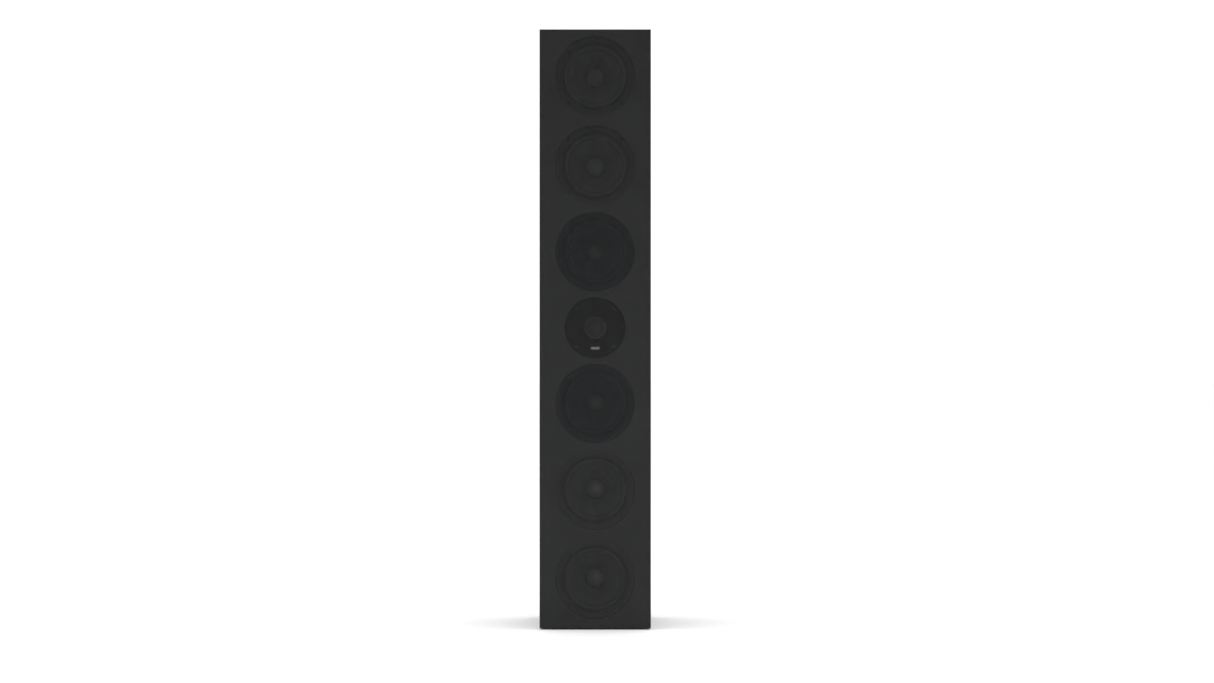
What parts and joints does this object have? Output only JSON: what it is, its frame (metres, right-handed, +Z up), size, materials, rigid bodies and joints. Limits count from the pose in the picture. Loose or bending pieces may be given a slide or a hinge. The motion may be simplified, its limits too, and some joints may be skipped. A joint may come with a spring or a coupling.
{
  "type": "floorstanding speaker",
  "caption": "Slim floorstanding loudspeaker column with cone drivers and a dome tweeter in a line behind a full-height black cloth grille.",
  "frame": {"origin": "centre of the footprint's bounding box, on the floor", "axes": "+Z up, the grille faces -Y, the terminals and ports face +Y, +X to the right seen from the front"},
  "size_m": [0.188, 0.24, 1.014],
  "materials": {
    "baffle_black": "fibreboard, satin black lacquer",
    "cabinet_black": "fibreboard with a satin black ash finish",
    "fibreboard": "raw fibreboard",
    "wadding": "polyester wadding",
    "black_plastic": "moulded, fine texture",
    "gold_plate": "gold plated",
    "zinc": "zinc plated",
    "red_plastic": "moulded, clear red",
    "green_board": "glass-fibre board",
    "copper_winding": "enamelled copper",
    "yellow_film": "wrapped film",
    "cement": "cement",
    "wire_insulation": "sleeved",
    "rubber_black": "soft",
    "black_steel": "black oxide",
    "magnet_nickel": "nickel plated",
    "grille_cloth": "open knit, acoustically clear",
    "cast_black": "cast, black coated",
    "ferrite": "sintered",
    "spider_cloth": "resin-treated cloth",
    "dome_fabric": "doped soft dome",
    "badge_silver": "plain brushed bar, no lettering",
    "cone_black": "coated cone",
    "cap_black": "smooth dust cap"
  },
  "bodies": {
    "cabinet": {"front_baffle": "baffle_black", "side_panel_left": "cabinet_black", "side_panel_right": "cabinet_black", "top_panel": "cabinet_black", "bottom_panel": "cabinet_black", "back_panel": "cabinet_black", "dividers_and_braces": "fibreboard", "damping_pads": "wadding", "bass_ports": "black_plastic", "terminal_cup": "black_plastic", "terminal_studs": "gold_plate", "terminal_nuts": "zinc", "crossover_board": "green_board", "crossover_inductors": "copper_winding", "crossover_capacitors": "yellow_film", "crossover_resistors": "cement", "internal_wiring": "wire_insulation", "rubber_feet": "rubber_black", "plinth_inserts": "gold_plate", "countersunk_screws": "black_steel", "baffle_magnets": "magnet_nickel", "driver_screws": "black_steel", "driver_gaskets": "rubber_black", "driver_baskets": "cast_black", "driver_top_plates": "zinc", "driver_magnets": "ferrite", "driver_yokes": "zinc", "driver_spiders": "spider_cloth", "driver_surrounds": "rubber_black", "tweeter_faceplate": "cast_black", "tweeter_guard": "black_steel", "tweeter_rear_chamber": "black_plastic", "badge_plate": "badge_silver"},
    "woofer_1_moving": {"woofer_1_cone": "cone_black", "woofer_1_dust_cap": "cap_black", "woofer_1_voice_coil": "copper_winding"},
    "woofer_2_moving": {"woofer_2_cone": "cone_black", "woofer_2_dust_cap": "cap_black", "woofer_2_voice_coil": "copper_winding"},
    "midrange_1_moving": {"midrange_1_cone": "cone_black", "midrange_1_dust_cap": "cap_black", "midrange_1_voice_coil": "copper_winding"},
    "midrange_2_moving": {"midrange_2_cone": "cone_black", "midrange_2_dust_cap": "cap_black", "midrange_2_voice_coil": "copper_winding"},
    "woofer_3_moving": {"woofer_3_cone": "cone_black", "woofer_3_dust_cap": "cap_black", "woofer_3_voice_coil": "copper_winding"},
    "woofer_4_moving": {"woofer_4_cone": "cone_black", "woofer_4_dust_cap": "cap_black", "woofer_4_voice_coil": "copper_winding"},
    "tweeter_moving": {"tweeter_dome": "dome_fabric", "tweeter_voice_coil": "copper_winding"},
    "grille": {"grille_frame": "black_plastic", "grille_cloth": "grille_cloth", "grille_magnets": "magnet_nickel"},
    "red_post_carrier": {"red_post_insert": "gold_plate"},
    "red_post_knob": {"red_post_cap": "red_plastic"},
    "black_post_carrier": {"black_post_insert": "gold_plate"},
    "black_post_knob": {"black_post_cap": "black_plastic"}
  },
  "joints": [
    {"name": "woofer_1_excursion", "type": "slide", "parent": "cabinet", "child": "woofer_1_moving", "axis": [0, -1, 0], "range_m": [-0.005, 0.005], "stiffness_N_per_m": 1100, "deforming": ["driver_surrounds", "driver_spiders"]},
    {"name": "woofer_2_excursion", "type": "slide", "parent": "cabinet", "child": "woofer_2_moving", "axis": [0, -1, 0], "range_m": [-0.005, 0.005], "stiffness_N_per_m": 1100, "deforming": ["driver_surrounds", "driver_spiders"]},
    {"name": "woofer_3_excursion", "type": "slide", "parent": "cabinet", "child": "woofer_3_moving", "axis": [0, -1, 0], "range_m": [-0.005, 0.005], "stiffness_N_per_m": 1100, "deforming": ["driver_surrounds", "driver_spiders"]},
    {"name": "woofer_4_excursion", "type": "slide", "parent": "cabinet", "child": "woofer_4_moving", "axis": [0, -1, 0], "range_m": [-0.005, 0.005], "stiffness_N_per_m": 1100, "deforming": ["driver_surrounds", "driver_spiders"]},
    {"name": "midrange_1_excursion", "type": "slide", "parent": "cabinet", "child": "midrange_1_moving", "axis": [0, -1, 0], "range_m": [-0.003, 0.003], "stiffness_N_per_m": 1500, "deforming": ["driver_surrounds", "driver_spiders"]},
    {"name": "midrange_2_excursion", "type": "slide", "parent": "cabinet", "child": "midrange_2_moving", "axis": [0, -1, 0], "range_m": [-0.003, 0.003], "stiffness_N_per_m": 1500, "deforming": ["driver_surrounds", "driver_spiders"]},
    {"name": "tweeter_excursion", "type": "slide", "parent": "cabinet", "child": "tweeter_moving", "axis": [0, -1, 0], "range_m": [-0.0003, 0.0003], "stiffness_N_per_m": 3000, "deforming": ["driver_surrounds", "driver_spiders"]},
    {"name": "grille_pull_off", "type": "slide", "parent": "cabinet", "child": "grille", "axis": [0, -1, 0], "range_m": [0, 0.12]},
    {"name": "red_post_travel", "type": "slide", "parent": "cabinet", "child": "red_post_carrier", "axis": [0, 1, 0], "range_m": [0, 0.0028]},
    {"name": "red_post_turn", "type": "hinge", "parent": "red_post_carrier", "child": "red_post_knob", "pos_m": [-0.02, 0.11, 0.092], "axis": [0, 1, 0], "range_deg": [0, 1262]},
    {"name": "black_post_travel", "type": "slide", "parent": "cabinet", "child": "black_post_carrier", "axis": [0, 1, 0], "range_m": [0, 0.0028]},
    {"name": "black_post_turn", "type": "hinge", "parent": "black_post_carrier", "child": "black_post_knob", "pos_m": [0.02, 0.11, 0.092], "axis": [0, 1, 0], "range_deg": [0, 1262]}
  ],
  "couplings": [
    {"joint": "red_post_turn", "follows": "red_post_travel", "rad_per_m": 7854},
    {"joint": "black_post_turn", "follows": "black_post_travel", "rad_per_m": 7854}
  ]
}
